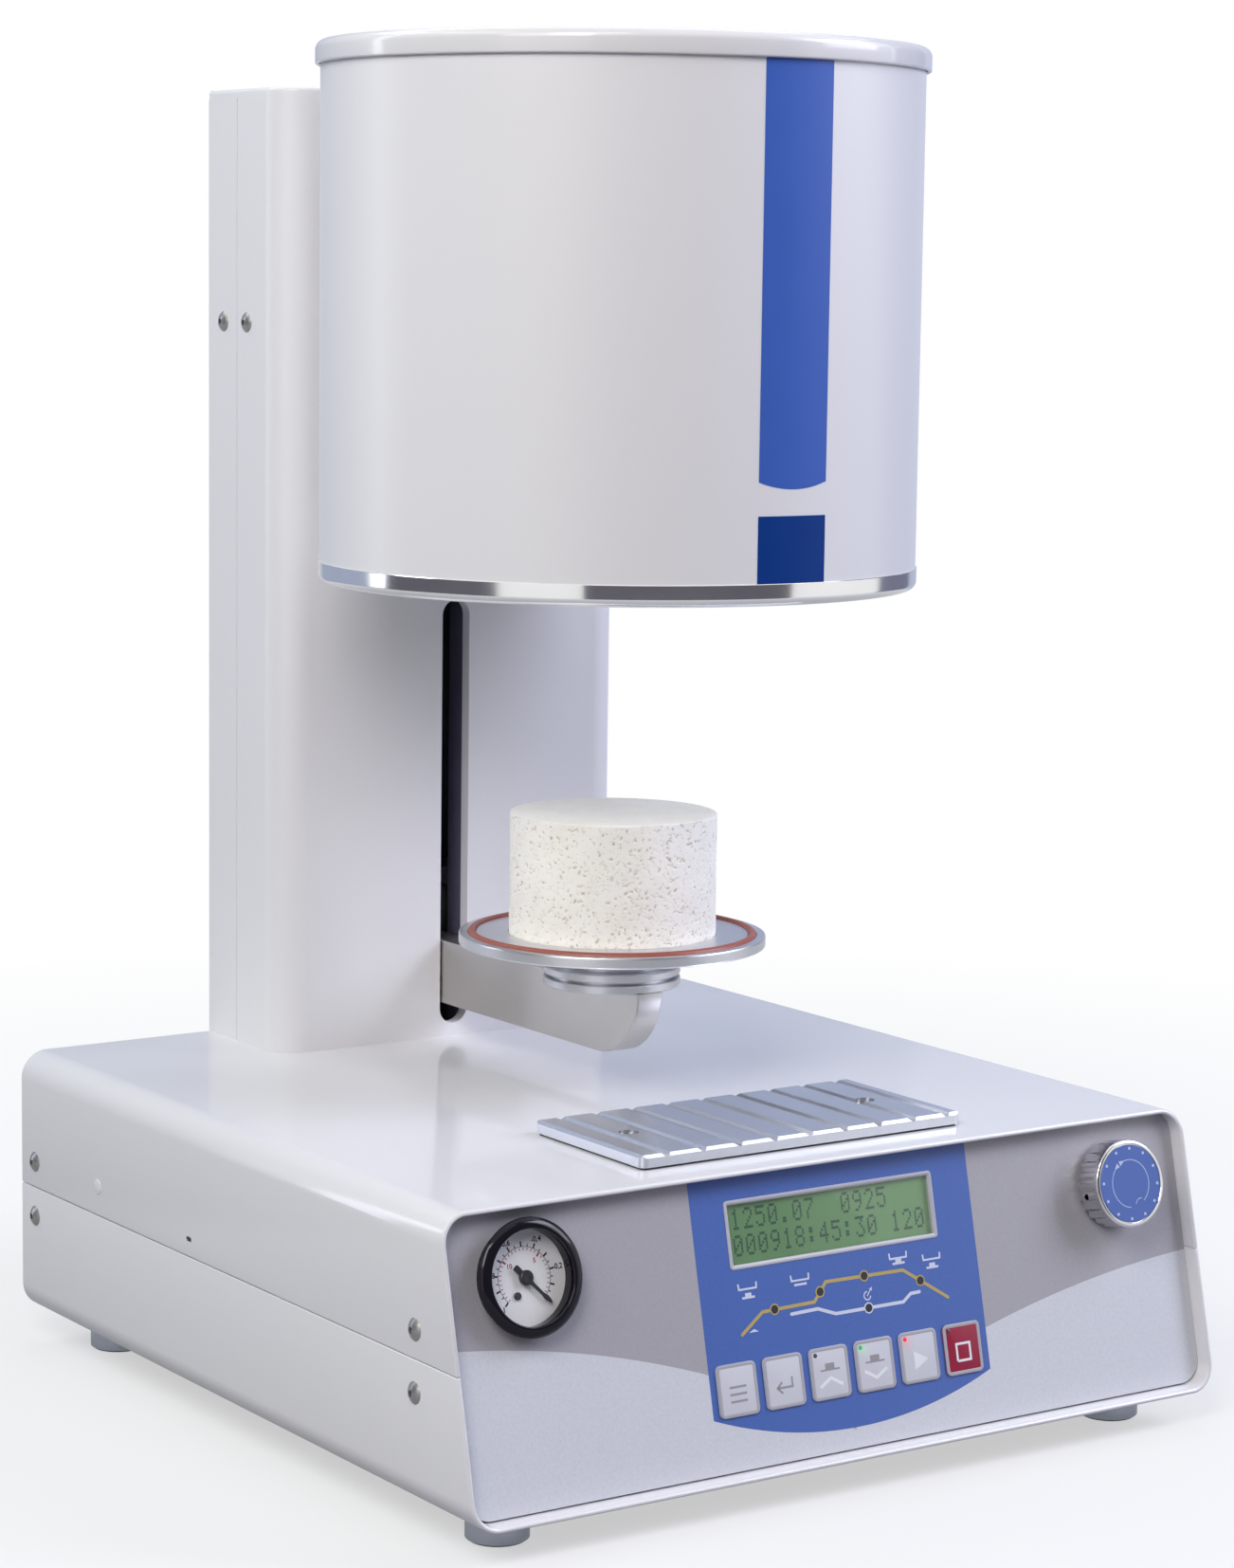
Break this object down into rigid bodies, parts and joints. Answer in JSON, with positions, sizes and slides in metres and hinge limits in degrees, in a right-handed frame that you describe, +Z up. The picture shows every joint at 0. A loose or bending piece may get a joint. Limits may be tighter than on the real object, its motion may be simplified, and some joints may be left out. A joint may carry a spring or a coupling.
{
  "type": "dental lab furnace",
  "caption": "Bench furnace for dental ceramics: slanted panel base, rear column, round firing head and a lifting table with a ceramic plug.",
  "frame": {"origin": "centre of the footprint at the underside of the feet", "axes": "+Z up; the slanted control panel faces -Y and the column stands at +Y; +X is to the right seen from the front"},
  "size_m": [0.3738, 0.38, 0.5723],
  "materials": {
    "paint": "gloss white enamel, fine orange peel",
    "panel_paint": "satin light blue grey",
    "film": "printed polyester film, satin",
    "screw_steel": "bright zinc plated",
    "sheet_steel": "plain sheet",
    "polished_steel": "polished ring",
    "alu": "turned and milled, satin",
    "arm_metal": "satin, warm grey",
    "black_metal": "black anodised",
    "black_plastic": "matte",
    "bezel_black": "gloss",
    "foot_rubber": "matte",
    "window": "clear, green from behind",
    "clear": "clear",
    "lcd": "green display",
    "board": "circuit board",
    "key_grey": "satin",
    "key_red": "satin",
    "dial_white": "printed white",
    "inlay_blue": "satin print",
    "brass": "turned",
    "silicone": "satin red brown",
    "plug_ceramic": "pitted white",
    "quartz": "dense, pale",
    "fibre": "pressed fibre",
    "coil_wire": "oxidised wire",
    "rocker_red": "gloss"
  },
  "bodies": {
    "base": {"upper_shell": "paint", "lower_shell": "paint", "side_rails": "sheet_steel", "case_screws": "screw_steel", "foot_bodies": "alu", "foot_pads": "foot_rubber", "front_panel": "panel_paint", "front_overlay": "film", "display_window": "window", "lcd_module": "lcd", "keypad_board": "board", "gauge_case": "black_metal", "gauge_dial": "dial_white", "gauge_glass": "clear", "gauge_bezel": "bezel_black", "encoder_body": "screw_steel", "plate_gasket": "black_plastic", "cooling_plate": "alu", "plate_screws": "screw_steel", "rear_panel": "paint", "power_inlet": "black_plastic", "switch_body": "black_plastic", "vacuum_nipple": "brass", "power_supply": "sheet_steel", "control_board": "board", "column_shell": "paint", "column_rear_cover": "paint", "column_cap": "paint", "column_strips": "sheet_steel", "slot_liner": "black_plastic", "lift_frame": "black_metal", "guide_rods": "polished_steel", "lift_motor": "black_metal", "head_ring": "polished_steel", "head_bottom_plate": "sheet_steel", "head_shell": "paint", "head_lid": "paint", "muffle": "quartz", "heating_coil": "coil_wire", "insulation": "fibre", "head_bracket": "sheet_steel"},
    "lift": {"lift_carriage": "black_metal", "lift_nut": "brass", "lift_arm": "arm_metal", "table_collar": "alu", "table_disc": "alu", "seal_ring": "silicone", "firing_plug": "plug_ceramic"},
    "screw": {"lead_screw": "screw_steel"},
    "knob": {"encoder_shaft": "screw_steel", "control_knob": "alu", "knob_inlay": "inlay_blue"},
    "needle": {"gauge_needle": "black_metal"},
    "rocker": {"switch_rocker": "rocker_red"},
    "key_1_body": {"key_1": "key_grey"},
    "key_2_body": {"key_2": "key_grey"},
    "key_3_body": {"key_3": "key_grey"},
    "key_4_body": {"key_4": "key_grey"},
    "key_5_body": {"key_5": "key_grey"},
    "key_6_body": {"key_6": "key_red"}
  },
  "joints": [
    {"name": "lift_slide", "type": "slide", "parent": "base", "child": "lift", "axis": [0, 0, 1], "range_m": [0, 0.15]},
    {"name": "screw_turn", "type": "hinge", "parent": "base", "child": "screw", "pos_m": [0, 0.163, 0.131], "axis": [0, 0, 1], "range_deg": [-6800, 0]},
    {"name": "knob_turn", "type": "hinge", "parent": "base", "child": "knob", "pos_m": [0.145, -0.1707, 0.10384], "axis": [0, -0.9744, 0.2249], "continuous": true},
    {"name": "needle_swing", "type": "hinge", "parent": "base", "child": "needle", "pos_m": [-0.1475, -0.16535, 0.1026], "axis": [0, -0.9744, 0.2249], "range_deg": [0, 270], "stiffness_Nm_per_rad": 0.0004},
    {"name": "rocker_flip", "type": "hinge", "parent": "base", "child": "rocker", "pos_m": [0.06, 0.1675, 0.048], "axis": [1, 0, 0], "range_deg": [-20, 0]},
    {"name": "key_1_press", "type": "slide", "parent": "base", "child": "key_1_body", "axis": [0, 0.9744, -0.2249], "range_m": [0, 0.0004], "stiffness_N_per_m": 900},
    {"name": "key_2_press", "type": "slide", "parent": "base", "child": "key_2_body", "axis": [0, 0.9744, -0.2249], "range_m": [0, 0.0004], "stiffness_N_per_m": 900},
    {"name": "key_3_press", "type": "slide", "parent": "base", "child": "key_3_body", "axis": [0, 0.9744, -0.2249], "range_m": [0, 0.0004], "stiffness_N_per_m": 900},
    {"name": "key_4_press", "type": "slide", "parent": "base", "child": "key_4_body", "axis": [0, 0.9744, -0.2249], "range_m": [0, 0.0004], "stiffness_N_per_m": 900},
    {"name": "key_5_press", "type": "slide", "parent": "base", "child": "key_5_body", "axis": [0, 0.9744, -0.2249], "range_m": [0, 0.0004], "stiffness_N_per_m": 900},
    {"name": "key_6_press", "type": "slide", "parent": "base", "child": "key_6_body", "axis": [0, 0.9744, -0.2249], "range_m": [0, 0.0004], "stiffness_N_per_m": 900}
  ],
  "couplings": [
    {"joint": "screw_turn", "follows": "lift_slide", "rad_per_m": -785.4}
  ]
}
